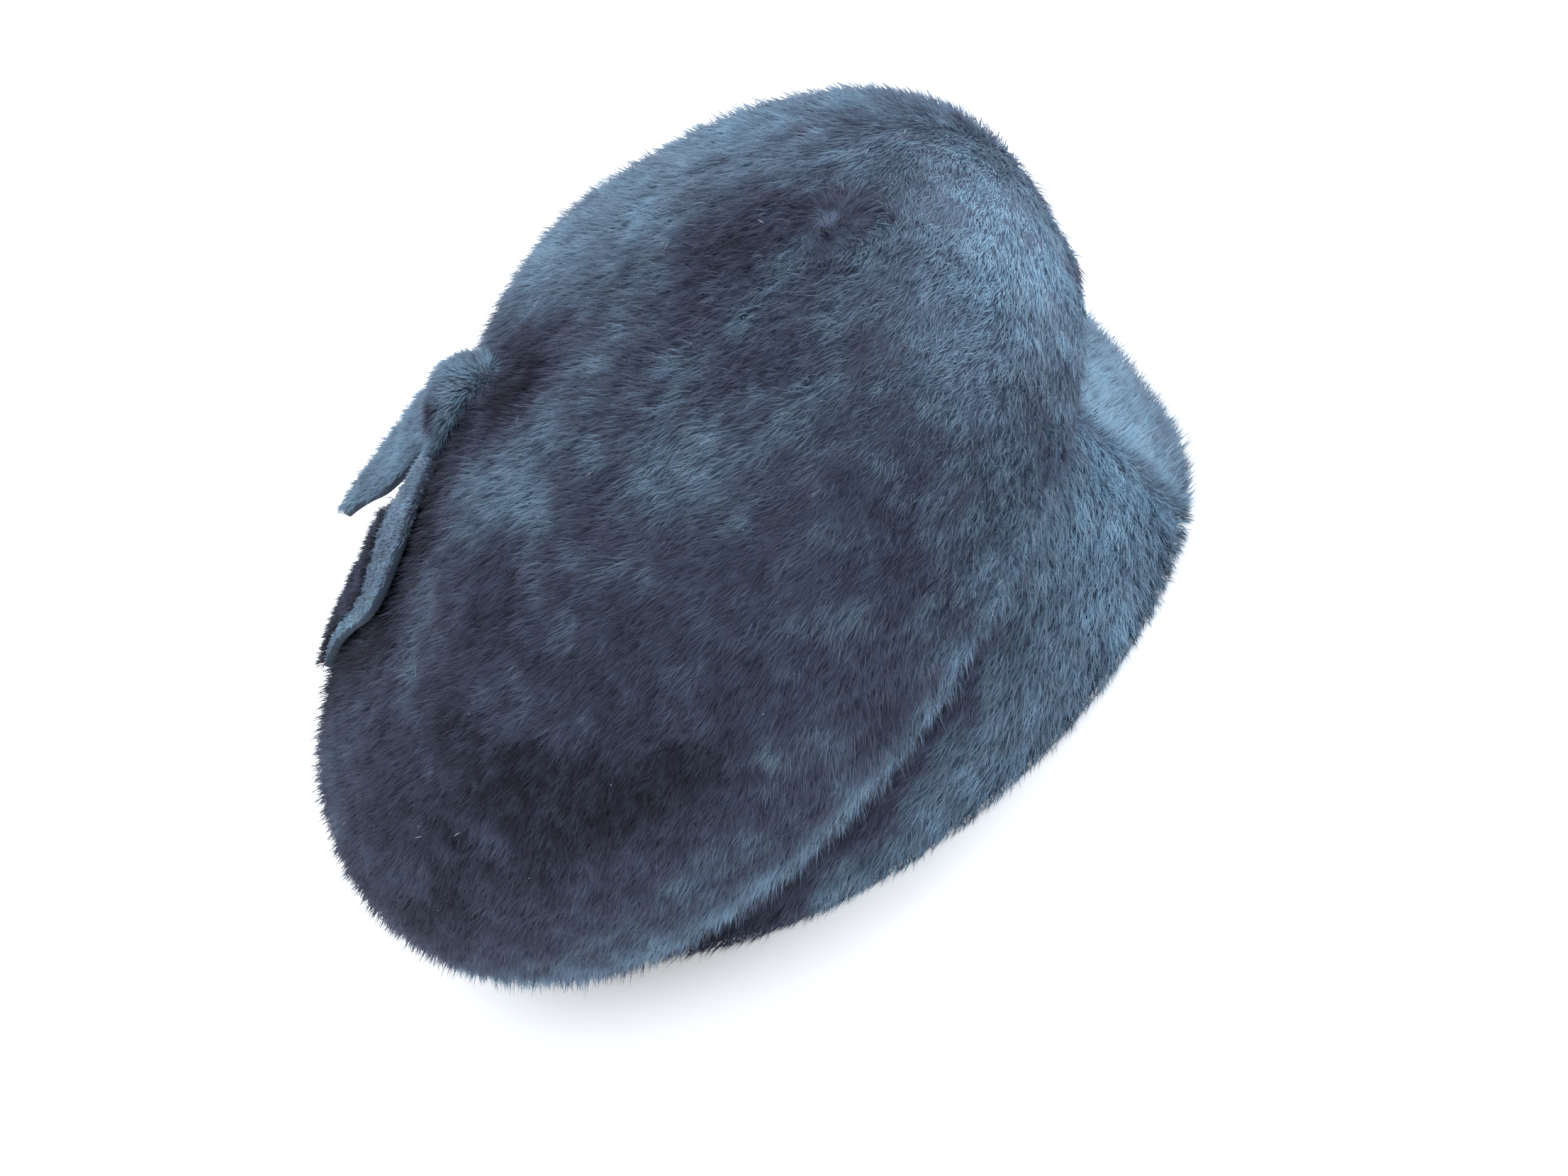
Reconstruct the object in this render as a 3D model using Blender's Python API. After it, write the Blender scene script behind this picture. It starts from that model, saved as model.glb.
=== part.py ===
"""Fur felt hat: a soft crown over an upright band, with a knot and two tails at the back of its top.

Metres, +Z up. The front is -Y and the wearer's right is -X. The origin is the middle of the hat's box, on the
surface that the band stands on.
"""

import math

import bmesh
import bpy
from mathutils import Vector
from mathutils.bvhtree import BVHTree

# Overall sizes
CROWN_LENGTH = 0.236
CROWN_WIDTH = 0.214
CROWN_HEIGHT = 0.120

# The head opening, inside the band
OPENING_LENGTH = 0.195
OPENING_WIDTH = 0.168
OPENING_FORWARD = 0.008

# Walls and clearances
CROWN_WALL = 0.0025
BAND_WALL = 0.003
TAIL_WALL = 0.002
GAP = 0.0004
SEAT = 0.0003

# The band goes up behind the crown's roll by its tuck, and swells a little at mid height
BAND_TUCK = 0.010
BAND_SWELL = 0.0015

# The knot and its two tails, at the back of the top
KNOT_WIDTH = 0.027
KNOT_HEIGHT = 0.012
LOWER_TAIL_WIDTH = 0.034
UPPER_TAIL_WIDTH = 0.026
TAIL_DROOP = 0.002

# How finely the curved walls are cut
CROWN_COLUMNS = 84
BAND_COLUMNS = 72
KNOT_SIDES = 16
CROWN_STEPS = 2
KNOT_STEPS = 2
TAIL_STEPS = 3

# Where the crown's roll hangs over the band. turn is in degrees from the front, height is a share of
# CROWN_HEIGHT and overhang a share of half of CROWN_WIDTH.
FOLD = (
    # name, turn, height, overhang
    ("front", 0, 0.43, 0.062),
    ("front_corner", 45, 0.33, 0.085),
    ("side", 90, 0.155, 0.125),
    ("back_corner", 135, 0.035, 0.165),
    ("back", 180, 0.025, 0.15),
)

# The roll's section from the band outwards. out and rise are shares of the overhang.
ROLL = (
    # name, out, rise
    ("under", 0.4, 0.0),
    ("outside", 1.0, 0.5),
)

# The band's section, from its outer foot over its top and down inside. wall, swell and tuck are shares of
# BAND_WALL, BAND_SWELL and BAND_TUCK, and fold is a share of the fold's height.
BAND_ROWS = (
    # name, wall, swell, fold, tuck
    ("foot", 1.0, 0.0, 0.00, 0.0),
    ("swell", 1.0, 1.0, 0.45, 0.0),
    ("below_roll", 1.0, 0.0, 0.90, 0.0),
    ("top", 1.0, 0.0, 1.00, 1.0),
    ("inner_top", 0.0, 0.0, 1.00, 1.0),
    ("inner_middle", 0.0, 0.0, 0.50, 0.5),
    ("inner_foot", 0.0, 0.0, 0.00, 0.0),
)

# Rings of the crown from its roll to its top. The three heights are shares of CROWN_HEIGHT, front and back
# are shares of half of CROWN_LENGTH, side is a share of half of CROWN_WIDTH, and square is how far the ring
# fills out towards a rectangle.
CROWN_RINGS = (
    # name, front_height, side_height, back_height, front, back, side, square
    ("lower_side", 0.515, 0.28, 0.15, 0.985, 0.985, 0.965, 0.06),
    ("widest", 0.68, 0.48, 0.31, 1.00, 1.00, 1.00, 0.06),
    ("upper_side", 0.85, 0.70, 0.54, 0.94, 0.89, 0.92, 0.04),
    ("shoulder", 0.945, 0.86, 0.74, 0.80, 0.54, 0.76, 0.03),
    ("top_outer", 0.99, 0.95, 0.875, 0.60, 0.31, 0.53, 0.02),
    ("top_inner", 1.00, 0.99, 0.955, 0.31, 0.15, 0.27, 0.0),
    ("top", 1.00, 1.00, 1.00, 0.0, 0.0, 0.0, 0.0),
)

# Dents and folds of the crown. side, along and height are the middle's place, as shares of half of
# CROWN_WIDTH, of half of CROWN_LENGTH and of CROWN_HEIGHT. heading is the direction of the long way in
# degrees from the wearer's left towards the back, and slope its rise in degrees. long and short are shares
# of half of CROWN_WIDTH, and depth is a share of CROWN_HEIGHT, negative for a ridge.
DENTS = (
    # name, side, along, height, heading, slope, long, short, depth
    ("under_bow", 0.40, 0.42, 0.80, 60, -30, 0.42, 0.30, 0.040),
    ("pinch", 0.06, 0.06, 1.00, 90, 0, 0.12, 0.10, 0.045),
    ("hollow", -0.20, 0.00, 1.00, 120, 0, 0.22, 0.13, 0.040),
    ("ridge_behind", -0.30, 0.22, 0.98, 120, 0, 0.20, 0.09, -0.022),
    ("ridge_ahead", -0.42, -0.22, 0.98, 60, 0, 0.26, 0.12, -0.022),
    ("small_ahead", -0.28, -0.12, 1.00, 60, 0, 0.08, 0.06, 0.012),
    ("small_side", -0.47, -0.04, 0.97, 60, 0, 0.09, 0.06, 0.012),
)

# The knot, from the pinch in the crown to where the tails part. side and along are the middle line's place,
# as shares of half of CROWN_WIDTH and of half of CROWN_LENGTH, width and height are shares of the knot's own.
KNOT = (
    # name, side, along, width, height
    ("front_end", 0.065, 0.100, 0.26, 0.30),
    ("front", 0.06, 0.125, 0.64, 0.62),
    ("middle", 0.05, 0.160, 0.84, 0.82),
    ("back", 0.045, 0.195, 0.92, 0.80),
    ("dimple", 0.045, 0.225, 0.97, 0.62),
    ("back_end", 0.045, 0.245, 1.00, 0.45),
)

# The two tails from the knot to their tips. side and along are as in KNOT, width is a share of the tail's
# width, and lift, in shares of KNOT_HEIGHT, is how far the line floats over the crown.
LOWER_TAIL = (
    # name, side, along, width, lift
    ("root", -0.035, 0.2545, 0.41, 0.30),
    ("bend", -0.13, 0.34, 0.76, 0.48),
    ("middle", -0.185, 0.42, 1.00, 0.56),
    ("lower", -0.150, 0.56, 0.57, 0.52),
    ("narrow", -0.105, 0.69, 0.25, 0.42),
    ("tip", -0.065, 0.81, 0.05, 0.30),
)
UPPER_TAIL = (
    # name, side, along, width, lift
    ("root", 0.125, 0.250, 0.61, 0.36),
    ("middle", 0.21, 0.38, 1.00, 0.80),
    ("lower", 0.27, 0.54, 0.65, 1.02),
    ("tip", 0.29, 0.68, 0.055, 1.10),
)


def fur_felt(name, colour, roughness):
    """A plain material for one piece."""
    material = bpy.data.materials.new(name)
    material.use_nodes = True
    shader = material.node_tree.nodes["Principled BSDF"]
    shader.inputs["Base Color"].default_value = (*colour, 1.0)
    shader.inputs["Roughness"].default_value = roughness
    shader.inputs["Metallic"].default_value = 0.0
    material.diffuse_color = (*colour, 1.0)
    return material


def add_object(name, bm, material):
    """Turns a bmesh into a named object, shaded smooth."""
    bmesh.ops.recalc_face_normals(bm, faces=bm.faces)
    mesh = bpy.data.meshes.new(name)
    bm.to_mesh(mesh)
    bm.free()
    mesh.shade_smooth()
    mesh.materials.append(material)
    piece = bpy.data.objects.new(name, mesh)
    bpy.context.scene.collection.objects.link(piece)
    return piece


def smooth_value(four, t):
    """A value between the middle two of four, on a Catmull-Rom curve."""
    p0, p1, p2, p3 = four
    flat = 2 * p1 + (p2 - p0) * t
    bent = (2 * p0 - 5 * p1 + 4 * p2 - p3) * t**2 + (3 * p1 - p0 - 3 * p2 + p3) * t**3
    return 0.5 * (flat + bent)


def smooth_between(points, steps):
    """Points on a smooth curve through the given ones, with steps - 1 new ones in each span."""
    last = len(points) - 1
    curve = []
    for i in range(last):
        four = [points[min(max(k, 0), last)] for k in range(i - 1, i + 3)]
        curve += [smooth_value(four, s / steps) for s in range(steps)]
    curve.append(points[last])
    return curve


def filled_out(value, square):
    """A sine or cosine pushed out towards a rectangle's side."""
    return math.copysign(abs(value) ** (1.0 - square), value)


def opening_point(angle, outwards, height):
    """A point outside the head opening by outwards. The angle runs from the front by the wearer's left."""
    across = OPENING_WIDTH / 2 + outwards
    along = OPENING_LENGTH / 2 + outwards
    return Vector((across * math.sin(angle), -OPENING_FORWARD - along * math.cos(angle), height))


def fold_at(angle):
    """Height and overhang of the crown's roll at an angle."""
    turn = math.degrees(angle) % 360
    turn = min(turn, 360 - turn)
    last = len(FOLD) - 1
    row = next(i for i in range(last) if turn <= FOLD[i + 1][1])
    share = (turn - FOLD[row][1]) / (FOLD[row + 1][1] - FOLD[row][1])
    near = [FOLD[last - abs(last - abs(i))] for i in range(row - 1, row + 3)]
    height = smooth_value([line[2] for line in near], share)
    overhang = smooth_value([line[3] for line in near], share)
    return height * CROWN_HEIGHT, overhang * CROWN_WIDTH / 2


def roll_points(angle):
    """The crown's turned-in edge and its roll, from the band outwards."""
    out = BAND_WALL + GAP
    low, overhang = fold_at(angle)
    points = [opening_point(angle, out, low + CROWN_WALL)]
    for name, share, rise in ROLL:
        points.append(opening_point(angle, out + share * overhang, low + rise * overhang))
    return points


def ring_point(ring, angle):
    """A point of one of CROWN_RINGS."""
    name, front_height, side_height, back_height, front, back, side, square = ring
    ahead = filled_out(math.cos(angle), square)
    across = filled_out(math.sin(angle), square)
    reach = front if ahead > 0 else back
    bow = (front_height + back_height) / 2 - side_height
    height = side_height + (front_height - back_height) / 2 * ahead + bow * ahead**2
    return Vector((across * side * CROWN_WIDTH / 2, -ahead * reach * CROWN_LENGTH / 2, height * CROWN_HEIGHT))


def dent_depth(point):
    """How far the dents and folds push a point of the crown inwards."""
    pushed = 0.0
    for name, side, along, height, heading, slope, long_way, short_way, depth in DENTS:
        middle = Vector((side * CROWN_WIDTH / 2, along * CROWN_LENGTH / 2, height * CROWN_HEIGHT))
        turn, rise = math.radians(heading), math.radians(slope)
        way = Vector((math.cos(turn) * math.cos(rise), math.sin(turn) * math.cos(rise), math.sin(rise)))
        away = point - middle
        along_way = away.dot(way)
        off_way = (away - along_way * way).length
        far = (along_way / long_way) ** 2 + (off_way / short_way) ** 2
        pushed += depth * CROWN_HEIGHT * math.exp(-far / (CROWN_WIDTH / 2) ** 2)
    return pushed


def crown():
    columns = []
    for c in range(CROWN_COLUMNS):
        angle = 2 * math.pi * c / CROWN_COLUMNS
        points = roll_points(angle) + [ring_point(ring, angle) for ring in CROWN_RINGS]
        columns.append(smooth_between(points, CROWN_STEPS))
    bm = bmesh.new()
    top = bm.verts.new(columns[0][-1])
    rings = [[bm.verts.new(column[r]) for column in columns] for r in range(len(columns[0]) - 1)]
    for lower, upper in zip(rings, rings[1:]):
        for c in range(CROWN_COLUMNS):
            d = (c + 1) % CROWN_COLUMNS
            bm.faces.new((lower[c], lower[d], upper[d], upper[c]))
    for c in range(CROWN_COLUMNS):
        bm.faces.new((rings[-1][c], rings[-1][(c + 1) % CROWN_COLUMNS], top))
    bmesh.ops.recalc_face_normals(bm, faces=bm.faces)
    bm.normal_update()
    fixed = set(rings[0] + rings[1])
    moves = [(v, dent_depth(v.co) * v.normal) for v in bm.verts if v not in fixed]
    for vert, move in moves:
        vert.co -= move
    surface = BVHTree.FromBMesh(bm)
    piece = add_object("crown", bm, fur_felt("crown_fur_felt", (0.045, 0.07, 0.11), 0.9))
    wall = piece.modifiers.new("wall", "SOLIDIFY")
    wall.thickness = CROWN_WALL
    wall.offset = -1.0
    wall.use_even_offset = True
    return surface


def band_column(angle):
    """Points around the band's wall at an angle, as in BAND_ROWS."""
    low = fold_at(angle)[0]
    bulge = BAND_SWELL * low / fold_at(0.0)[0]
    points = []
    for name, wall, swell, fold, tuck in BAND_ROWS:
        points.append(opening_point(angle, wall * BAND_WALL + swell * bulge, fold * low + tuck * BAND_TUCK))
    return points


def band():
    columns = [band_column(2 * math.pi * c / BAND_COLUMNS) for c in range(BAND_COLUMNS)]
    bm = bmesh.new()
    loops = [[bm.verts.new(column[r]) for column in columns] for r in range(len(columns[0]))]
    for lower, upper in zip(loops, loops[1:] + loops[:1]):
        for c in range(BAND_COLUMNS):
            d = (c + 1) % BAND_COLUMNS
            bm.faces.new((lower[c], lower[d], upper[d], upper[c]))
    return add_object("band", bm, fur_felt("band_fur_felt", (0.05, 0.08, 0.13), 0.9))


def crown_under(surface, x, y):
    """The crown's outside at a place, with its normal."""
    return surface.ray_cast(Vector((x, y, 2 * CROWN_HEIGHT)), Vector((0, 0, -1)))[:2]


def over_crown(surface, side, along, lift):
    """A point lifted off the crown along its normal, at shares of its half width and half length."""
    place, normal = crown_under(surface, side * CROWN_WIDTH / 2, along * CROWN_LENGTH / 2)
    return place + lift * normal, normal


def directions(line, i, first=None):
    """Across and up at a point of a line of places and normals. first, if given, is its way at the start."""
    ahead = line[min(i + 1, len(line) - 1)][0] - line[max(i - 1, 0)][0]
    if first and i == 0:
        ahead = first
    across = ahead.cross(line[i][1]).normalized()
    return across, across.cross(ahead).normalized()


def skinned(loops):
    """A closed body over loops of points with equal counts, its two ends filled."""
    bm = bmesh.new()
    rows = [[bm.verts.new(point) for point in loop] for loop in loops]
    for near, far in zip(rows, rows[1:]):
        for k in range(len(near)):
            m = (k + 1) % len(near)
            bm.faces.new((near[k], near[m], far[m], far[k]))
    bm.faces.new(rows[0])
    bm.faces.new(rows[-1])
    return bm


def knot(surface):
    """A soft lump that sits on the crown with a clearance of SEAT."""
    table = smooth_between([Vector(row[1:]) for row in KNOT], KNOT_STEPS)
    line = [over_crown(surface, side, along, 0.0) for side, along, width, height in table]
    loops = []
    for i, (place, normal) in enumerate(line):
        across, up = directions(line, i)
        half, tall = table[i][2] * KNOT_WIDTH / 2, table[i][3] * KNOT_HEIGHT
        loop = []
        for k in range(KNOT_SIDES):
            turn = 2 * math.pi * k / KNOT_SIDES
            point = place + across * half * math.cos(turn) + up * (SEAT + tall / 2 * (1 + math.sin(turn)))
            point.z = max(point.z, crown_under(surface, point.x, point.y)[0].z + 2 * SEAT)
            loop.append(point)
        loops.append(loop)
    return add_object("knot", skinned(loops), fur_felt("knot_fur_felt", (0.05, 0.08, 0.13), 0.9))


def tail(name, rows, width, surface, colour):
    """A leaf of felt along a middle line, its root square to the knot's back end and its tip a point."""
    table = smooth_between([Vector(row[1:]) for row in rows], TAIL_STEPS)
    line = [over_crown(surface, side, along, lift * KNOT_HEIGHT) for side, along, share, lift in table]
    loops = []
    for i, (place, normal) in enumerate(line):
        across, up = directions(line, i, Vector((0, 1, 0)))
        half, droop = table[i][2] * width / 2, table[i][2] * TAIL_DROOP
        edge = [place + across * half * part - up * droop * part**2 for part in (-1.0, -0.5, 0.0, 0.5, 1.0)]
        thick = up * TAIL_WALL / 2
        loops.append([point + thick for point in edge] + [point - thick for point in reversed(edge)])
    return add_object(name, skinned(loops), fur_felt(name + "_fur_felt", colour, 0.85))


def clear_scene():
    for old in list(bpy.data.objects):
        bpy.data.objects.remove(old, do_unlink=True)


clear_scene()
crown_surface = crown()
band()
knot(crown_surface)
tail("lower_tail", LOWER_TAIL, LOWER_TAIL_WIDTH, crown_surface, (0.06, 0.09, 0.14))
tail("upper_tail", UPPER_TAIL, UPPER_TAIL_WIDTH, crown_surface, (0.05, 0.08, 0.13))
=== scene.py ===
"""Looks of a navy fur-felt hat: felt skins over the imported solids, and the combed pile that grows on them."""

import math

import bmesh
import bpy
import numpy as np
from mathutils import Matrix, Vector
from mathutils.bvhtree import BVHTree


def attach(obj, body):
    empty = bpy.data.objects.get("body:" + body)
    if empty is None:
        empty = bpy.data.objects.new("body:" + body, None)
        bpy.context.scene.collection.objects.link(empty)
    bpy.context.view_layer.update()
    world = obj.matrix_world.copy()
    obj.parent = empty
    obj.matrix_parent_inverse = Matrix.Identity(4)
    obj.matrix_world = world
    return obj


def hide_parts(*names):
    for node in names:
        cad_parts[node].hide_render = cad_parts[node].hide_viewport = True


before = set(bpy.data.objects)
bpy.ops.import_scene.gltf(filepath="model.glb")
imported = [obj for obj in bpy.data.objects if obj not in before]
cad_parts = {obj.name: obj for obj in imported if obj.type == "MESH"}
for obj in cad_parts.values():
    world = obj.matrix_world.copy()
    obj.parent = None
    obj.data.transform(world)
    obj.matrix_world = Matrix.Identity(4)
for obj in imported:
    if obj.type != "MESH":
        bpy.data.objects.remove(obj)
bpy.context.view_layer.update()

# The camera, at the photograph's angle to the hat. Angles are in degrees, lengths in metres, the lens in mm.
CAMERA_AZIMUTH = -62.0
CAMERA_ELEVATION = 30.0
CAMERA_ROLL = -42.4
CAMERA_DISTANCE = 0.75
CAMERA_TARGET = (0.0, -0.010, 0.026)
CAMERA_LENS = 69.3
SENSOR_WIDTH = 36.0

# The pile. Lengths are in metres, lifts and turns in degrees.
PILE_LENGTH = 0.0050
PILE_WIDTH = 0.00022
TUFT = 0.0026
ROOT_DEPTH = 0.0004
FLOOR_CLEARANCE = 0.0004
CROWN_STRANDS = 340000
BAND_STRANDS = 90000
KNOT_STRANDS = 5000
LOWER_STRANDS = 6000
UPPER_STRANDS = 7000
STRIP_STRANDS = 6000

# Stray hairs, single ones that stand out: their share of the strands, and their added lift and reach
STRAY_SHARE = 0.12
STRAY_LIFT = 36
STRAY_REACH = 1.15

# Raised tufts, which stand up together: their share of the tufts, and their added lift and gather
RAISED_SHARE = 0.14
RAISED_LIFT = 22
RAISED_GATHER = 2.2

# A strand bends at this share of its length, and beyond the bend it is lifted and gathered by these shares.
BEND = 0.45
OUTER_LIFT = 0.6
BEND_GATHER = 0.4

# How strands differ, as a spread from tuft to tuft and one from strand to strand
YAW_SPREADS = (7, 11)
LIFT_SPREADS = (5, 7)
REACH_SPREADS = (0.07, 0.15)
TONE_SPREADS = (0.04, 0.06)
REACH_LIMITS = (0.5, 1.6)
WIDTH_LIMITS = (0.7, 1.3)
MOST_ROLL = 60

# Pile that lies flatter than this lift differs less in its lift, and pile that stands higher differs more.
EVEN_LIFT = 26
LIFT_CHANGE_LIMITS = (0.3, 1.2)

# How much of a strand's shading comes from its own facing. The rest comes from the skin that it grows on.
OWN_SHADING = 0.25

# The tones of the darkest and the lightest pile, and of the middle colour
TONE_LOW = 0.0
TONE_MIDDLE = 0.5
TONE_HIGH = 1.3

# The crown: its middle and its tone; the side facing the key light, where its pile has painted light; and the
# roll's edge, with painted floor light where its normals point down by this much, from ROLL_START out to the
# sides
CROWN_MIDDLE = np.array((0.0, -0.008, 0.050))
CROWN_TONE = 0.36
LIGHT_SIDE = (0.50, -0.62, 0.60)
LIGHT_TONE = 0.24
ROLL_FLOOR_LIGHT = 0.50
ROLL_NORMAL_Z = -0.50
ROLL_SPREAD = 0.28
ROLL_START = 0.032
ROLL_RAMP = 0.03

# The crown's pile is lifted this much more than its combing says, unevenly, and less where a patch has painted
# light.
CROWN_LIFT = 4
CROWN_LIFT_NOISE = ((7, 0.010, 13),)
PATCH_LIFT = 8

# A patch of painted light and shade is placed where this share of a strand's length reaches.
SEEN_SHARE = 0.6

# Where the crown's pile fans out of a point, and how wide that fan is
WHORL = np.array((-0.013, -0.087, 0.1155))
WHORL_RADIUS = 0.012

# Painted shade: the pile is darker this near to the lower tail and to the knot, by these tones, on the crown's
# top and back.
LOWER_TAIL_SHADE = (0.020, 0.46)
KNOT_SHADE = (0.006, 0.50)
SHADE_FLOOR = 0.06

# The band's seam, down its front: its x at the floor, and how much x falls for each metre up. The pile is
# light on the two sides of the seam, dark in it, and stands up there.
SEAM_X = -0.0125
SEAM_SLOPE = 0.19
SEAM_SIDE = 0.0035
SEAM_WIDTH = 0.0014
SEAM_RAISED = 0.0025
SEAM_TONE = 0.34
SEAM_LIFT = 35

# Painted shade in the fold between band and crown: how far it reaches, and where it starts at the sides
FOLD_REACH = 0.020
FOLD_START = 0.054
FOLD_RAMP = 0.020
FOLD_SHADE = 0.95
FOLD_POWER = 1.3

# The band's pile: its tone, lighter than the crown's with painted light, its lift, how far down it points, and
# its lower edge, where it stands up
BAND_TONE = 0.80
BAND_LIFT = 26
BAND_LIFT_NOISE = ((8, 0.010, 23),)
BAND_WAY_DOWN = (0.0, 0.0, -0.22)
BAND_EDGE = 0.004
BAND_EDGE_LIFT = 34

# How the combing wanders over the surface, in noises of (degrees, size of the lumps, seed)
CROWN_SWAY = ((22, 0.022, 11), (14, 0.008, 12))
BAND_SWAY = ((20, 0.020, 21), (14, 0.008, 22))
WHORL_SWAY = 45

# How far tips lean to the middle of their tuft: 1 would bring them all the way.
CROWN_GATHER = 0.16
BAND_GATHER = 0.12
TRIM_GATHER = 0.2

# The nap of the knot and tails: the way that it points, and how far and over what lumps that wanders
TRIM_WAY = (0.0, 1.0, -0.4)
TRIM_SWAY = 20
TRIM_SWAY_SIZE = 0.006

# The lower tail's smooth part along its near edge ends at these x and y. The nap begins there.
SMOOTH_Y = (0.030, 0.048, 0.055, 0.062, 0.070, 0.080, 0.090)
SMOOTH_X = (0.010, 0.000, -0.022, -0.026, -0.022, -0.015, -0.010)

# The knot's tacked dimple, painted as shade in the knot's pile
DIMPLE = np.array((-0.004, 0.026, 0.118))
DIMPLE_RADIUS = 0.0036
DIMPLE_SHADE = 0.75

# Where pile grows, by the z of a skin's normals: not below the first on the knot, above the second on the
# tails; and on the band by how far they point outwards
KNOT_LEAST_Z = -0.5
TAIL_LEAST_Z = 0.3
BAND_LEAST_OUT = 0.2

# Felt skins: corners closer than this are merged, triangles flatter than this joined, sharp edges creased.
MERGE_DISTANCE = 0.00001
FLAT_ANGLE = 0.7
CREASE = 0.85

# The noise's lattice, and how far places are moved in it; and how the borders of tufts wander: over lumps of
# this many tufts, by this share of a tuft
NOISE_SIDE = 32
NOISE_SHIFT = 100.0
BORDER_SIZE = 1.6
BORDER_SHIFT = 0.7

# Lint: how much of it is hairs, the lengths of a hair and of a speck, and how high and how wide it is
LINT_COUNT = 110
HAIR_SHARE = 0.3
HAIR_LENGTH = 0.0035
SPECK_LENGTH = 0.0006
LINT_HEIGHT = 0.0030
LINT_WIDTH = 0.00018

# How the crown's pile is combed: at a place, the way its tips point, and how far they are lifted in degrees.
# The ways blend over about COMBING_BLEND.
COMBING_BLEND = 0.014
CROWN_COMBING = (
    # name, x, y, z, way_x, way_y, way_z, lift
    ("top_left", 0.055, -0.030, 0.115, 0.10, 1.00, 0.00, 24),
    ("top_left_front", 0.045, -0.085, 0.108, -0.15, 1.00, 0.00, 20),
    ("front_left", 0.070, -0.090, 0.070, 0.50, 0.70, -0.30, 24),
    ("front_high", 0.006, -0.110, 0.100, -1.00, 0.25, 0.10, 3),
    ("front", -0.003, -0.118, 0.080, -1.00, 0.25, 0.05, 1),
    ("front_low", -0.006, -0.116, 0.060, -1.00, 0.20, 0.05, 4),
    ("front_right", -0.040, -0.106, 0.090, -0.85, 0.55, 0.00, 14),
    ("corner", -0.068, -0.092, 0.073, -0.50, 1.00, -0.30, 26),
    ("corner_low", -0.067, -0.088, 0.052, -0.40, 0.80, 0.35, 28),
    ("top_front", -0.044, -0.080, 0.110, -0.80, 1.00, -0.10, 26),
    ("top_middle", -0.030, -0.030, 0.117, -0.15, 1.00, 0.00, 32),
    ("top_right", -0.065, -0.055, 0.111, -0.40, 1.00, -0.25, 28),
    ("side_front", -0.097, -0.049, 0.074, 0.00, 1.00, -0.55, 28),
    ("side", -0.104, 0.010, 0.067, 0.00, 1.00, -0.35, 28),
    ("side_high", -0.083, -0.015, 0.102, -0.20, 1.00, -0.30, 28),
    ("side_low", -0.103, -0.010, 0.036, 0.00, 1.00, -0.10, 32),
    ("side_back", -0.090, 0.040, 0.080, -0.05, 1.00, -0.60, 28),
    ("back_right", -0.062, 0.075, 0.060, 0.20, 0.70, -0.80, 30),
    ("back", 0.000, 0.112, 0.045, 0.10, 0.20, -1.00, 28),
    ("top_back", -0.020, 0.060, 0.092, -0.10, 1.00, -0.50, 28),
    ("back_left", 0.070, 0.075, 0.055, -0.10, 0.70, -0.80, 28),
    ("left", 0.103, -0.005, 0.060, 0.00, 1.00, -0.35, 26),
)

# Painted light and shade on the pile: painted sheen where it lies over, painted shade where it stands up, in
# hollows, under the lower tail and on the sides turned from the light. tone is above 0 where it looks lighter.
CROWN_LIGHT_AND_SHADE = (
    # name, x, y, z, radius, tone
    ("top_left_far", 0.040, -0.005, 0.116, 0.034, 0.34),
    ("top_left_near", 0.046, -0.052, 0.115, 0.034, 0.34),
    ("front_top", 0.005, -0.106, 0.107, 0.026, 0.06),
    ("front_middle", -0.003, -0.118, 0.082, 0.030, 0.52),
    ("front_right", -0.036, -0.108, 0.090, 0.024, 0.34),
    ("front_low", -0.014, -0.116, 0.060, 0.018, 0.22),
    ("front_turn", -0.056, -0.100, 0.086, 0.013, 0.16),
    ("front_corner", -0.064, -0.095, 0.066, 0.018, 0.18),
    ("roll_front", -0.074, -0.086, 0.049, 0.009, 0.14),
    ("roll_dark", -0.092, -0.057, 0.046, 0.008, -0.16),
    ("dent", -0.055, -0.032, 0.117, 0.009, 0.10),
    ("ridge_ahead", -0.048, -0.052, 0.118, 0.012, 0.14),
    ("ridge_low", -0.070, -0.048, 0.110, 0.012, 0.40),
    ("ridge_behind", -0.051, -0.004, 0.116, 0.013, 0.40),
    ("ridge_end", -0.036, 0.013, 0.112, 0.008, 0.24),
    ("ridge_inner", -0.024, -0.025, 0.118, 0.009, 0.20),
    ("top_middle", -0.010, -0.040, 0.120, 0.010, 0.10),
    ("top_streak", -0.040, -0.068, 0.117, 0.008, 0.14),
    ("side_tuft", -0.066, 0.035, 0.097, 0.011, 0.10),
    ("low_tuft", -0.102, -0.037, 0.056, 0.008, 0.18),
    ("side_streak", -0.080, 0.018, 0.100, 0.007, 0.14),
    ("back_low_streak", -0.078, 0.072, 0.055, 0.010, 0.12),
    ("under_whorl", -0.010, -0.068, 0.119, 0.014, -0.30),
    ("whorl", -0.014, -0.088, 0.115, 0.010, -0.38),
    ("behind_whorl", -0.024, -0.050, 0.119, 0.011, -0.10),
    ("top_right", -0.052, -0.072, 0.113, 0.010, -0.10),
    ("hollow", -0.014, 0.000, 0.116, 0.013, -0.52),
    ("hollow_left", 0.006, 0.003, 0.114, 0.009, -0.36),
    ("side_high", -0.088, -0.010, 0.098, 0.020, 0.04),
    ("side_back", -0.096, 0.024, 0.079, 0.028, -0.24),
    ("side_middle", -0.104, -0.015, 0.062, 0.026, -0.17),
    ("side_front", -0.083, -0.075, 0.076, 0.010, -0.10),
    ("low_back", -0.088, 0.064, 0.040, 0.026, -0.20),
    ("under_tail", -0.031, 0.035, 0.105, 0.009, -0.22),
    ("side_top", -0.067, 0.004, 0.110, 0.010, -0.13),
    ("roll_back", -0.103, 0.010, 0.030, 0.014, 0.12),
)
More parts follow.
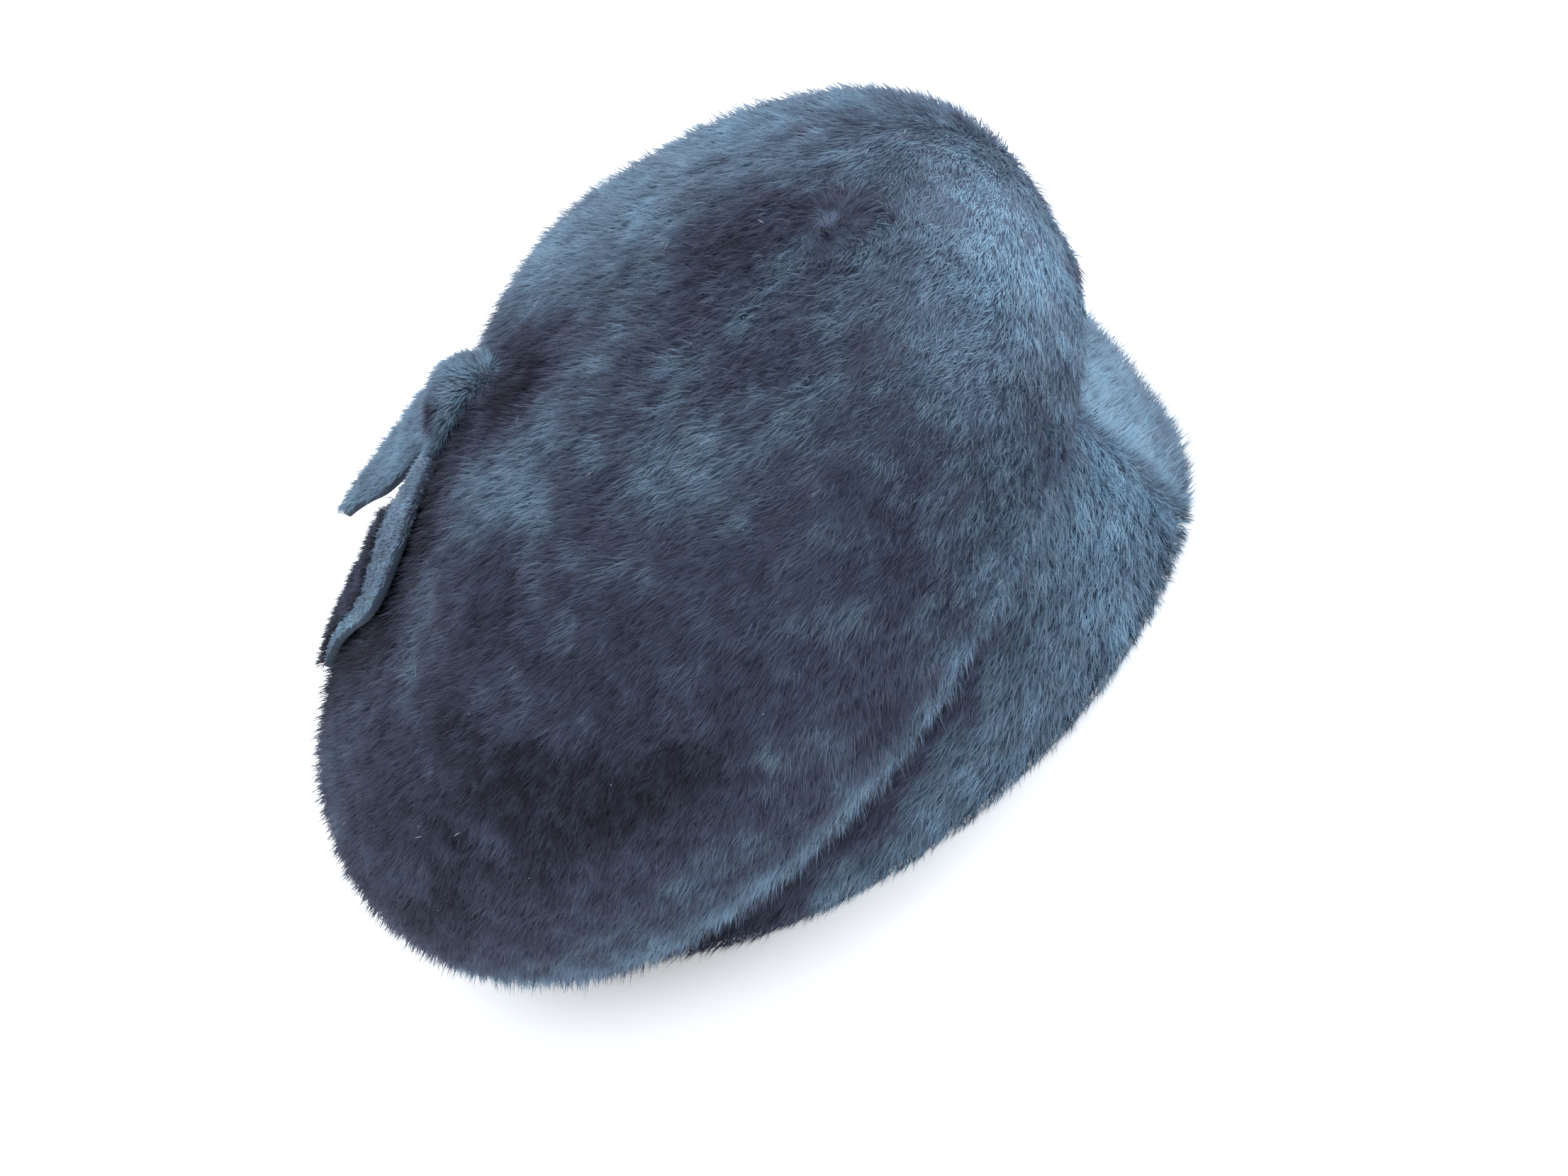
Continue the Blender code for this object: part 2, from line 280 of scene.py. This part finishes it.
# Painted light and shade on the band's pile: lighter at its front, painted shade at its back right.
BAND_LIGHT_AND_SHADE = (
    # name, x, y, z, radius, tone
    ("front", -0.018, -0.108, 0.028, 0.028, 0.44),
    ("front_low", -0.045, -0.096, 0.008, 0.020, 0.16),
    ("right_low", -0.086, -0.040, 0.002, 0.012, 0.06),
    ("back_right", -0.084, 0.022, 0.004, 0.022, -0.30),
)


def unit(vectors):
    """Rows scaled to length 1."""
    return vectors / np.maximum(np.linalg.norm(vectors, axis=1, keepdims=True), 1e-12)


def dots(a, b):
    """The dot product of each row of a with the same row of b, as a column."""
    return np.sum(a * b, axis=1, keepdims=True)


def flattened(ways, normals):
    """Ways laid into the surface and scaled to length 1."""
    return unit(ways - normals * dots(ways, normals))


def bell(values, width):
    """1 where values are 0, falling smoothly to nearly 0 at twice the width."""
    return np.exp(-((values / width) ** 2))


def ramp(values, start, width):
    """0 up to start, then rising to 1 over width."""
    return np.clip((values - start) / width, 0, 1)


def soft_noise(points, scale, seed):
    """Smooth noise from -1 to 1 over points, its lumps about scale across."""
    side = NOISE_SIDE
    lattice = np.random.default_rng(seed).uniform(-1, 1, (side, side, side))
    place = points / scale + NOISE_SHIFT
    low = np.floor(place).astype(int)
    part = place - low
    part = part * part * (3 - 2 * part)
    total = np.zeros(len(points))
    for dx in (0, 1):
        for dy in (0, 1):
            for dz in (0, 1):
                corner = lattice[(low[:, 0] + dx) % side, (low[:, 1] + dy) % side, (low[:, 2] + dz) % side]
                wx = part[:, 0] if dx else 1 - part[:, 0]
                wy = part[:, 1] if dy else 1 - part[:, 1]
                wz = part[:, 2] if dz else 1 - part[:, 2]
                total += corner * wx * wy * wz
    return total


def layered(points, layers):
    """The sum of smooth noises given as (strength, size of the lumps, seed)."""
    return sum(strength * soft_noise(points, size, seed) for strength, size, seed in layers)


def turned(ways, normals, angles):
    """Ways in the surface turned about the normals by angles in radians."""
    across = np.cross(normals, ways)
    return ways * np.cos(angles)[:, None] + across * np.sin(angles)[:, None]


def light_and_shade_tone(points, patches):
    """The sum of a table's patches of painted light and shade at the points."""
    tone = np.zeros(len(points))
    for _, x, y, z, radius, change in patches:
        tone += change * bell(np.linalg.norm(points - (x, y, z), axis=1), radius)
    return tone


def combed(points, normals, combing, blend):
    """The ways of a combing table, blended over about blend and laid into the surface, and the lifts."""
    ways = np.zeros_like(points)
    lifts, total = np.zeros(len(points)), np.zeros(len(points))
    for _, x, y, z, way_x, way_y, way_z, lift in combing:
        share = 1 / (np.sum((points - (x, y, z)) ** 2, axis=1) + blend**2) ** 2
        ways += share[:, None] * (way_x, way_y, way_z)
        lifts += share * lift
        total += share
    return flattened(ways, normals), lifts / total


def closeness(points, piece, reach):
    """How near points are to a piece: 1 on it, falling to 0 at reach."""
    mesh = piece.data
    tree = BVHTree.FromPolygons([v.co for v in mesh.vertices], [p.vertices for p in mesh.polygons])
    near = np.zeros(len(points))
    for i, point in enumerate(points):
        far = tree.find_nearest(point, reach)[3]
        if far is not None:
            near[i] = 1 - far / reach
    return near


# Materials

def new_group(name, inputs, outputs):
    """A node group with named sockets, given as (name, kind, default)."""
    group = bpy.data.node_groups.new(name, "ShaderNodeTree")
    for label, kind, default in inputs:
        socket = group.interface.new_socket(label, in_out="INPUT", socket_type=kind)
        socket.default_value = default
    for label, kind in outputs:
        group.interface.new_socket(label, in_out="OUTPUT", socket_type=kind)
    return group, group.nodes.new("NodeGroupInput"), group.nodes.new("NodeGroupOutput")


def mixed(tree, blend, factor, first, second):
    """The colour output of a Mix node. Each of factor, first and second is a value or a socket."""
    node = tree.nodes.new("ShaderNodeMix")
    node.data_type = "RGBA"
    node.blend_type = blend
    for socket, value in ((node.inputs[0], factor), (node.inputs[6], first), (node.inputs[7], second)):
        if isinstance(value, bpy.types.NodeSocket):
            tree.links.new(value, socket)
        else:
            socket.default_value = value
    return node.outputs[2]


def mapped(tree, value, from_low, from_high, to_low, to_high):
    """A value's range moved to another one, and kept inside it."""
    node = tree.nodes.new("ShaderNodeMapRange")
    tree.links.new(value, node.inputs[0])
    for i, number in enumerate((from_low, from_high, to_low, to_high), 1):
        node.inputs[i].default_value = number
    return node.outputs[0]


def object_noise(tree, scale, detail, distortion):
    """A noise texture in Object coordinates."""
    place = tree.nodes.new("ShaderNodeTexCoord")
    noise = tree.nodes.new("ShaderNodeTexNoise")
    noise.inputs["Scale"].default_value = scale
    noise.inputs["Detail"].default_value = detail
    noise.inputs["Distortion"].default_value = distortion
    tree.links.new(place.outputs["Object"], noise.inputs["Vector"])
    return noise.outputs["Fac"]


def make_pile_colour():
    """Pile colour from its tone, which holds painted light and shade, darkened as painted shade the nearer to
    the root it is, with a faint warm mottle.
    """
    group, given, result = new_group(
        "pile_colour",
        (
            ("Deep", "NodeSocketColor", (0.013, 0.013, 0.024, 1.0)),
            ("Middle", "NodeSocketColor", (0.070, 0.084, 0.133, 1.0)),
            ("Lit", "NodeSocketColor", (0.240, 0.388, 0.515, 1.0)),
            ("Tone", "NodeSocketFloat", TONE_MIDDLE),
            ("Tip", "NodeSocketFloat", 1.0),
        ),
        (("Color", "NodeSocketColor"),),
    )
    darker = mapped(group, given.outputs["Tone"], TONE_LOW, TONE_MIDDLE, 0.0, 1.0)
    lighter = mapped(group, given.outputs["Tone"], TONE_MIDDLE, TONE_HIGH, 0.0, 1.0)
    body = mixed(group, "MIX", darker, given.outputs["Deep"], given.outputs["Middle"])
    body = mixed(group, "MIX", lighter, body, given.outputs["Lit"])
    warm = mapped(group, object_noise(group, 130.0, 3.0, 0.5), 0.5, 0.72, 0.0, 1.0)
    body = mixed(group, "MIX", warm, body, mixed(group, "MULTIPLY", 1.0, body, (1.07, 0.98, 0.95, 1.0)))
    # Painted shade: strands are darker towards their roots, where they shade each other.
    shade = mapped(group, given.outputs["Tip"], 0.0, 1.0, 0.82, 1.03)
    grey = group.nodes.new("ShaderNodeCombineColor")
    for channel in grey.inputs:
        group.links.new(shade, channel)
    group.links.new(mixed(group, "MULTIPLY", 1.0, body, grey.outputs[0]), result.inputs["Color"])
    return group


def make_felt_fibre():
    """Matted felt: a mottle for its colour and a height for its bump."""
    group, given, result = new_group(
        "felt_fibre", (), (("Mottle", "NodeSocketFloat"), ("Height", "NodeSocketFloat"))
    )
    broad = object_noise(group, 120.0, 4.0, 0.0)
    group.links.new(mapped(group, broad, 0.3, 0.7, 0.0, 1.0), result.inputs["Mottle"])
    group.links.new(object_noise(group, 1500.0, 5.0, 0.8), result.inputs["Height"])
    return group


PILE_COLOUR = make_pile_colour()
FELT_FIBRE = make_felt_fibre()


def new_material(name, roughness, shine, sheen, sheen_tint):
    """A material with its own Principled shader, and its node tree."""
    material = bpy.data.materials.new(name)
    material.use_nodes = True
    tree = material.node_tree
    shader = tree.nodes["Principled BSDF"]
    shader.inputs["Roughness"].default_value = roughness
    shader.inputs["Specular IOR Level"].default_value = shine
    shader.inputs["Sheen Weight"].default_value = sheen
    shader.inputs["Sheen Roughness"].default_value = 0.45
    shader.inputs["Sheen Tint"].default_value = (*sheen_tint, 1.0)
    return material, tree, shader


def pile_material(name):
    """Strands: colour from the mesh's tone and tip attributes, and light let through where a back is seen."""
    material, tree, shader = new_material(
        name, roughness=0.6, shine=0.12, sheen=0.05, sheen_tint=(0.45, 0.65, 0.90)
    )
    group = tree.nodes.new("ShaderNodeGroup")
    group.node_tree = PILE_COLOUR
    for label in ("Tone", "Tip"):
        attribute = tree.nodes.new("ShaderNodeAttribute")
        attribute.attribute_name = label.lower()
        tree.links.new(attribute.outputs["Fac"], group.inputs[label])
    tree.links.new(group.outputs["Color"], shader.inputs["Base Color"])
    through = tree.nodes.new("ShaderNodeBsdfTranslucent")
    tree.links.new(group.outputs["Color"], through.inputs["Color"])
    underside = tree.nodes.new("ShaderNodeNewGeometry").outputs["Backfacing"]
    blend = tree.nodes.new("ShaderNodeMixShader")
    tree.links.new(mapped(tree, underside, 0.0, 1.0, 0.0, 0.8), blend.inputs[0])
    tree.links.new(shader.outputs[0], blend.inputs[1])
    tree.links.new(through.outputs[0], blend.inputs[2])
    tree.links.new(blend.outputs[0], tree.nodes["Material Output"].inputs["Surface"])
    return material


def felt_material(name, deep, lit):
    """Bare felt: mottled colour and a fine matted bump."""
    material, tree, shader = new_material(
        name, roughness=0.85, shine=0.2, sheen=0.15, sheen_tint=(0.45, 0.62, 0.85)
    )
    group = tree.nodes.new("ShaderNodeGroup")
    group.node_tree = FELT_FIBRE
    colour = mixed(tree, "MIX", group.outputs["Mottle"], (*deep, 1.0), (*lit, 1.0))
    tree.links.new(colour, shader.inputs["Base Color"])
    bump = tree.nodes.new("ShaderNodeBump")
    bump.inputs["Strength"].default_value = 0.6
    bump.inputs["Distance"].default_value = 0.0004
    tree.links.new(group.outputs["Height"], bump.inputs["Height"])
    tree.links.new(bump.outputs["Normal"], shader.inputs["Normal"])
    return material


def placed(name, data):
    """A new object in the scene, of a mesh, a camera or a light."""
    piece = bpy.data.objects.new(name, data)
    bpy.context.scene.collection.objects.link(piece)
    return piece


# Felt skins

def skin(node, name, material, sharp_angle, levels):
    """A smooth copy of a CAD node, its sharp edges creased, which stands in for it."""
    bm = bmesh.new()
    bm.from_mesh(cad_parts[node].data)
    bmesh.ops.remove_doubles(bm, verts=bm.verts, dist=MERGE_DISTANCE)
    bmesh.ops.join_triangles(
        bm, faces=bm.faces, angle_face_threshold=FLAT_ANGLE, angle_shape_threshold=FLAT_ANGLE
    )
    crease = bm.edges.layers.float.new("crease_edge")
    for edge in bm.edges:
        if len(edge.link_faces) == 2 and edge.calc_face_angle() > sharp_angle:
            edge[crease] = CREASE
    mesh = bpy.data.meshes.new(name)
    bm.to_mesh(mesh)
    bm.free()
    mesh.shade_smooth()
    mesh.materials.append(material)
    piece = placed(name, mesh)
    finer = piece.modifiers.new("finer", "SUBSURF")
    finer.levels = levels
    finer.render_levels = levels
    settled(piece)
    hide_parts(node)
    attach(piece, "root")
    return piece


def settled(piece):
    """Applies a piece's modifiers to its mesh."""
    found = piece.evaluated_get(bpy.context.evaluated_depsgraph_get())
    mesh = bpy.data.meshes.new_from_object(found)
    piece.modifiers.clear()
    piece.data = mesh


# Pile

def scattered(piece, count, seed, grows):
    """Points spread evenly over a skin, with its normals there. grows says which triangles carry pile, from
    their middles and normals."""
    mesh = piece.data
    mesh.calc_loop_triangles()
    places = np.empty(len(mesh.vertices) * 3)
    mesh.vertices.foreach_get("co", places)
    normals = np.empty(len(mesh.vertices) * 3)
    mesh.vertices.foreach_get("normal", normals)
    corners = np.empty(len(mesh.loop_triangles) * 3, dtype=int)
    mesh.loop_triangles.foreach_get("vertices", corners)
    places, normals, corners = places.reshape(-1, 3), normals.reshape(-1, 3), corners.reshape(-1, 3)
    a, b, c = (places[corners[:, k]] for k in range(3))
    facing = np.cross(b - a, c - a)
    area = np.linalg.norm(facing, axis=1)
    weight = area * grows((a + b + c) / 3, unit(facing))
    rng = np.random.default_rng(seed)
    chosen = rng.choice(len(corners), count, p=weight / weight.sum())
    u, v = rng.random(count), rng.random(count)
    over = u + v > 1
    u, v = np.where(over, 1 - u, u)[:, None], np.where(over, 1 - v, v)[:, None]
    w = 1 - u - v
    points = a[chosen] * w + b[chosen] * u + c[chosen] * v
    na, nb, nc = (normals[corners[chosen, k]] for k in range(3))
    return points, unit(na * w + nb * u + nc * v)


def tufts_of(points, size, seed):
    """Groups points in tufts about size across, with uneven borders: each point's tuft, and the tufts'
    middles."""
    shift = np.stack([soft_noise(points, BORDER_SIZE * size, seed + k) for k in range(3)], axis=1)
    cells = np.floor((points + BORDER_SHIFT * size * shift) / size).astype(int)
    index = np.unique(cells, axis=0, return_inverse=True)[1].ravel()
    count = np.bincount(index)
    middles = np.stack([np.bincount(index, points[:, k]) / count for k in range(3)], axis=1)
    return index, middles


def varied(rng, spreads, index):
    """A random change for each strand: one part that its tuft shares, and one of its own."""
    of_tuft, of_strand = spreads
    return rng.normal(0, of_tuft, index.max() + 1)[index] + rng.normal(0, of_strand, len(index))


def grow(name, points, normals, ways, tones, lifts, length, gather, material, seed):
    """A mesh of bent strands, each two triangles from root to tip, that lean a little to their tuft. Some
    tufts are raised, and some strands are stray hairs."""
    count = len(points)
    rng = np.random.default_rng(seed)
    index, middles = tufts_of(points, TUFT, seed)
    ways = turned(ways, normals, np.radians(varied(rng, YAW_SPREADS, index)))
    raised = (rng.random(len(middles)) < RAISED_SHARE)[index]
    stray = rng.random(count) < STRAY_SHARE
    more = varied(rng, LIFT_SPREADS, index) + np.where(raised, RAISED_LIFT, 0)
    more += np.where(stray, STRAY_LIFT, 0)
    lift = np.radians(lifts + more * np.clip(lifts / EVEN_LIFT, *LIFT_CHANGE_LIMITS))
    reach = np.clip(1 + varied(rng, REACH_SPREADS, index), *REACH_LIMITS)
    reach = (length * reach * np.where(stray, STRAY_REACH, 1.0))[:, None]
    rise, run = np.sin(lift)[:, None], np.cos(lift)[:, None]
    flat_rise, flat_run = np.sin(OUTER_LIFT * lift)[:, None], np.cos(OUTER_LIFT * lift)[:, None]
    to_middle = middles[index] - points
    to_middle -= normals * dots(to_middle, normals)
    to_middle *= gather * np.where(raised, RAISED_GATHER, 1.0)[:, None]
    first = points + BEND * reach * (ways * run + normals * rise)
    bend = first + BEND_GATHER * to_middle
    tip = first + to_middle + (1 - BEND) * reach * (ways * flat_run + normals * flat_rise)
    root = points - ROOT_DEPTH * normals
    for place in (root, bend, tip):
        place[:, 2] = np.maximum(place[:, 2], FLOOR_CLEARANCE)
    along = unit(tip - root)
    side = unit(np.cross(along, normals))
    facing = np.cross(side, along)
    roll = np.radians(rng.uniform(-MOST_ROLL, MOST_ROLL, count))[:, None]
    side, facing = side * np.cos(roll) + facing * np.sin(roll), facing * np.cos(roll) - side * np.sin(roll)
    half = (0.5 * PILE_WIDTH * rng.uniform(*WIDTH_LIMITS, count))[:, None]
    verts = np.stack([root, bend + side * half, bend - side * half, tip], axis=1).reshape(-1, 3)
    shading = unit((1 - OWN_SHADING) * normals + OWN_SHADING * facing)
    mesh = strand_mesh(name, verts, count)
    mesh.normals_split_custom_set_from_vertices(np.repeat(shading, 4, axis=0))
    tone = np.clip(tones + varied(rng, TONE_SPREADS, index), TONE_LOW, TONE_HIGH)
    put_attribute(mesh, "tone", np.repeat(tone, 4))
    put_attribute(mesh, "tip", np.tile((0.0, 0.6, 0.6, 1.0), count))
    mesh.materials.append(material)
    piece = placed(name, mesh)
    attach(piece, "root")


def strand_mesh(name, verts, count):
    """A mesh of count strands of four corners: root, the two sides of the bend, and tip. Each has its own
    place in the UV map."""
    mesh = bpy.data.meshes.new(name)
    mesh.vertices.add(len(verts))
    mesh.vertices.foreach_set("co", verts.ravel())
    corners = np.array((0, 1, 2, 2, 1, 3))[None, :] + 4 * np.arange(count)[:, None]
    mesh.loops.add(6 * count)
    mesh.loops.foreach_set("vertex_index", corners.ravel())
    mesh.polygons.add(2 * count)
    mesh.polygons.foreach_set("loop_start", 3 * np.arange(2 * count))
    mesh.polygons.foreach_set("use_smooth", np.ones(2 * count, dtype=bool))
    mesh.update(calc_edges=True)
    across = math.ceil(math.sqrt(count))
    cell = np.stack([np.arange(count) % across, np.arange(count) // across], axis=1)
    in_cell = np.array(((0.5, 0.1), (0.9, 0.6), (0.1, 0.6), (0.1, 0.6), (0.9, 0.6), (0.5, 0.9)))
    places = (cell[:, None, :] + in_cell[None, :, :]) / across
    mesh.uv_layers.new(name="OFBake").uv.foreach_set("vector", places.ravel().astype(np.float32))
    return mesh


def put_attribute(mesh, name, values):
    """Stores a number for each corner of the strands, for the material to read."""
    layer = mesh.attributes.new(name, "FLOAT", "POINT")
    layer.data.foreach_set("value", values.astype(np.float32))


def mottled(points, seed):
    """The pile's mottling: broad lumps, tufts that are lighter more often than darker, and fine lumps."""
    broad = 0.11 * soft_noise(points, 0.013, seed)
    tufts = 0.28 * np.maximum(soft_noise(points, 0.0055, seed + 1), -0.15)
    fine = 0.08 * soft_noise(points, 0.0028, seed + 2)
    return broad + tufts + fine - 0.02


def crown_grows(middles, normals):
    """The crown's outside, down to the underside of its roll."""
    return np.sum(normals * (middles - CROWN_MIDDLE), axis=1) > 0


def band_grows(middles, normals):
    """The band's outside."""
    away = middles - CROWN_MIDDLE
    away[:, 2] = 0
    return np.sum(normals * unit(away), axis=1) > BAND_LEAST_OUT


def crown_pile(material):
    """The crown's pile, in four pieces: combed back, fanned out at the whorl, with painted light and shade in
    patches, on the side facing the key light, at the roll's edge and beside the lower tail and the knot.
    """
    points, normals = scattered(crown_skin, CROWN_STRANDS, seed=1, grows=crown_grows)
    from_whorl = points - WHORL
    near = bell(np.linalg.norm(from_whorl, axis=1), WHORL_RADIUS)
    ways, lifts = combed(points, normals, CROWN_COMBING, COMBING_BLEND)
    ways = flattened(ways * (1 - near)[:, None] + flattened(from_whorl, normals) * near[:, None], normals)
    sway = layered(points, CROWN_SWAY) + WHORL_SWAY * near
    ways = turned(ways, normals, np.radians(sway))
    seen = points + SEEN_SHARE * PILE_LENGTH * ways
    light_and_shade = light_and_shade_tone(seen, CROWN_LIGHT_AND_SHADE)
    # Painted light: lighter on the side facing the key light, and on the roll's edge as if lit from the floor.
    light = np.maximum(np.sum(normals * LIGHT_SIDE, axis=1), 0)
    at_sides = ramp(np.abs(points[:, 0]), ROLL_START, ROLL_RAMP)
    roll_floor_light = bell(normals[:, 2] - ROLL_NORMAL_Z, ROLL_SPREAD) * at_sides
    tones = CROWN_TONE + LIGHT_TONE * light + light_and_shade + mottled(seen, seed=31) + ROLL_FLOOR_LIGHT * roll_floor_light
    # Painted shade on the crown's top and back beside the lower tail and the knot.
    behind = np.flatnonzero((points[:, 1] > 0) & (points[:, 2] > SHADE_FLOOR))
    for piece, (reach, shade) in ((lower_skin, LOWER_TAIL_SHADE), (knot_skin, KNOT_SHADE)):
        tones[behind] -= shade * np.sqrt(closeness(points[behind], piece, reach))
    lifts += CROWN_LIFT + layered(points, CROWN_LIFT_NOISE) - PATCH_LIFT * light_and_shade
    order = np.argsort(np.arctan2(points[:, 0], -points[:, 1]))
    names = ("back_right", "front_right", "front_left", "back_left")
    for k, rows in enumerate(np.array_split(order, len(names))):
        grow("crown_pile_" + names[k], points[rows], normals[rows], ways[rows], tones[rows], lifts[rows],
             PILE_LENGTH, CROWN_GATHER, material, seed=100 + k)


def band_pile(material):
    """The band's pile: parted at the front seam, then combed back and a little down, with painted light and
    shade in patches and painted shade in the fold.
    """
    points, normals = scattered(band_skin, BAND_STRANDS, seed=2, grows=band_grows)
    around = np.cross((0.0, 0.0, 1.0), normals)
    from_seam = points[:, 0] - (SEAM_X - SEAM_SLOPE * points[:, 2])
    side = np.where(from_seam < 0, -1.0, 1.0)[:, None]
    ways = flattened(side * around + np.array(BAND_WAY_DOWN), normals)
    ways = turned(ways, normals, np.radians(layered(points, BAND_SWAY)))
    light_and_shade = light_and_shade_tone(points, BAND_LIGHT_AND_SHADE)
    seam = np.where(points[:, 1] < 0, 1.0, 0.0)
    ridges = bell(np.abs(from_seam) - SEAM_SIDE, SEAM_WIDTH) - 0.5 * bell(from_seam, SEAM_WIDTH)
    tones = BAND_TONE + light_and_shade + mottled(points, seed=41) + SEAM_TONE * seam * ridges
    # Painted shade in the fold under the crown's roll, at the sides.
    fold_shade_at_sides = ramp(np.abs(points[:, 0]), FOLD_START, FOLD_RAMP)
    tones -= FOLD_SHADE * fold_shade_at_sides * closeness(points, crown_skin, FOLD_REACH) ** FOLD_POWER
    lifts = BAND_LIFT + layered(points, BAND_LIFT_NOISE)
    lifts += BAND_EDGE_LIFT * np.exp(-points[:, 2] / BAND_EDGE)
    lifts += SEAM_LIFT * seam * bell(from_seam, SEAM_RAISED)
    grow("band_pile", points, normals, ways, tones, lifts,
         PILE_LENGTH, BAND_GATHER, material, seed=120)


def trim_pile(piece, name, grows, material, count, seed, tone, length, lift):
    """The nap of the knot or of a part of a tail, combed back and a little down, with painted shade at the
    knot's dimple.
    """
    points, normals = scattered(piece, count, seed, grows)
    ways = flattened(np.tile(TRIM_WAY, (count, 1)), normals)
    ways = turned(ways, normals, np.radians(TRIM_SWAY * soft_noise(points, TRIM_SWAY_SIZE, seed)))
    dimple_shade = bell(np.linalg.norm(points - DIMPLE, axis=1), DIMPLE_RADIUS)
    tones = tone + mottled(points, seed) - DIMPLE_SHADE * dimple_shade
    lifts = np.full(count, lift)
    grow(name, points, normals, ways, tones, lifts, length, TRIM_GATHER, material, seed)


def knot_grows(middles, normals):
    """All of the knot but its underside."""
    return normals[:, 2] > KNOT_LEAST_Z


def upper_grows(middles, normals):
    """The upper tail's upper side."""
    return normals[:, 2] > TAIL_LEAST_Z


def lower_grows(middles, normals):
    """The lower tail's upper side, beyond its smooth near part."""
    return (normals[:, 2] > TAIL_LEAST_Z) & (middles[:, 0] > np.interp(middles[:, 1], SMOOTH_Y, SMOOTH_X))


def strip_grows(middles, normals):
    """The lower tail's smooth near part."""
    return (normals[:, 2] > TAIL_LEAST_Z) & (middles[:, 0] <= np.interp(middles[:, 1], SMOOTH_Y, SMOOTH_X))


def lint(count, seed, material):
    """A few pale specks and short loose hairs caught in the pile of the crown."""
    points, normals = scattered(crown_skin, count, seed, crown_grows)
    rng = np.random.default_rng(seed)
    ways = flattened(rng.normal(0, 1, (count, 3)), normals)
    length = np.where(rng.random(count) < HAIR_SHARE, HAIR_LENGTH, SPECK_LENGTH)[:, None]
    root = points + LINT_HEIGHT * normals
    middle, tip = root + 0.5 * length * ways, root + length * ways
    half = 0.5 * LINT_WIDTH * np.cross(normals, ways)
    verts = np.stack([root, middle + half, middle - half, tip], axis=1)
    mesh = strand_mesh("crown_lint", verts.reshape(-1, 3), count)
    mesh.materials.append(material)
    piece = placed("crown_lint", mesh)
    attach(piece, "root")


felt = felt_material("felt", deep=(0.062, 0.080, 0.125), lit=(0.088, 0.118, 0.180))
cut_felt = felt_material("cut_felt", deep=(0.026, 0.036, 0.058), lit=(0.038, 0.052, 0.080))
pile = pile_material("pile")
pale_hair, _, pale_shader = new_material(
    "pale_hair", roughness=0.7, shine=0.3, sheen=0.0, sheen_tint=(1.0, 1.0, 1.0)
)
pale_shader.inputs["Base Color"].default_value = (0.34, 0.38, 0.42, 1.0)

crown_skin = skin("crown", "crown_skin", felt, sharp_angle=0.9, levels=1)
band_skin = skin("band", "band_skin", felt, sharp_angle=0.9, levels=2)
knot_skin = skin("knot", "knot_skin", cut_felt, sharp_angle=1.2, levels=2)
lower_skin = skin("lower_tail", "lower_tail_felt", cut_felt, sharp_angle=0.9, levels=2)
upper_skin = skin("upper_tail", "upper_tail_felt", cut_felt, sharp_angle=0.9, levels=2)

crown_pile(pile)
band_pile(pile)
trim_pile(knot_skin, "knot_pile", knot_grows, pile,
          count=KNOT_STRANDS, seed=51, tone=0.88, length=0.0034, lift=48)
trim_pile(lower_skin, "lower_tail_pile", lower_grows, pile,
          count=LOWER_STRANDS, seed=52, tone=0.16, length=0.0032, lift=48)
trim_pile(lower_skin, "lower_tail_strip", strip_grows, pile,
          count=STRIP_STRANDS, seed=54, tone=0.88, length=0.0014, lift=30)
trim_pile(upper_skin, "upper_tail_pile", upper_grows, pile,
          count=UPPER_STRANDS, seed=53, tone=0.90, length=0.0034, lift=48)
lint(LINT_COUNT, 61, pale_hair)


# Camera, floor and light

def set_camera():
    """The camera looks at its target from its azimuth and elevation, turned by its roll."""
    azimuth, elevation, roll = (math.radians(a) for a in (CAMERA_AZIMUTH, CAMERA_ELEVATION, CAMERA_ROLL))
    back = Vector((math.sin(azimuth) * math.cos(elevation), -math.cos(azimuth) * math.cos(elevation),
                   math.sin(elevation)))
    right = Vector((math.cos(azimuth), math.sin(azimuth), 0.0))
    up = back.cross(right)
    x = right * math.cos(roll) + up * math.sin(roll)
    y = up * math.cos(roll) - right * math.sin(roll)
    data = bpy.data.cameras.new("camera")
    data.sensor_width = SENSOR_WIDTH
    data.lens = CAMERA_LENS
    data.clip_start = 0.01
    camera = placed("camera", data)
    turn = Matrix((x, y, back)).transposed()
    camera.matrix_world = Matrix.Translation(Vector(CAMERA_TARGET) + CAMERA_DISTANCE * back) @ turn.to_4x4()
    bpy.context.scene.camera = camera


def set_floor():
    """A plain pale floor, far wider than the picture."""
    bm = bmesh.new()
    bmesh.ops.create_grid(bm, x_segments=1, y_segments=1, size=8.0)
    mesh = bpy.data.meshes.new("floor")
    bm.to_mesh(mesh)
    bm.free()
    material = bpy.data.materials.new("floor_paper")
    material.use_nodes = True
    shader = material.node_tree.nodes["Principled BSDF"]
    shader.inputs["Base Color"].default_value = (0.90, 0.91, 0.92, 1.0)
    shader.inputs["Roughness"].default_value = 0.9
    shader.inputs["Emission Color"].default_value = (1.0, 1.0, 1.0, 1.0)
    shader.inputs["Emission Strength"].default_value = 0.3
    mesh.materials.append(material)
    floor = placed("floor", mesh)


def add_light(name, place, target, size, power):
    """A round area light at a place, turned to its target."""
    data = bpy.data.lights.new(name, "AREA")
    data.shape = "DISK"
    data.size = size
    data.energy = power
    light = placed(name, data)
    light.location = place
    light.rotation_euler = (Vector(target) - Vector(place)).to_track_quat("-Z", "Y").to_euler()


def set_light():
    """Pale light from all round, and one soft key light from the front."""
    world = bpy.data.worlds.new("studio")
    bpy.context.scene.world = world
    world.use_nodes = True
    background = world.node_tree.nodes["Background"]
    background.inputs["Color"].default_value = (0.93, 0.96, 1.0, 1.0)
    background.inputs["Strength"].default_value = 1.42
    add_light("key", place=(0.5, -1.1, 1.5), target=(0, 0, 0.05), size=0.9, power=8)
    bpy.context.scene.view_settings.view_transform = "Standard"


set_camera()
set_floor()
set_light()
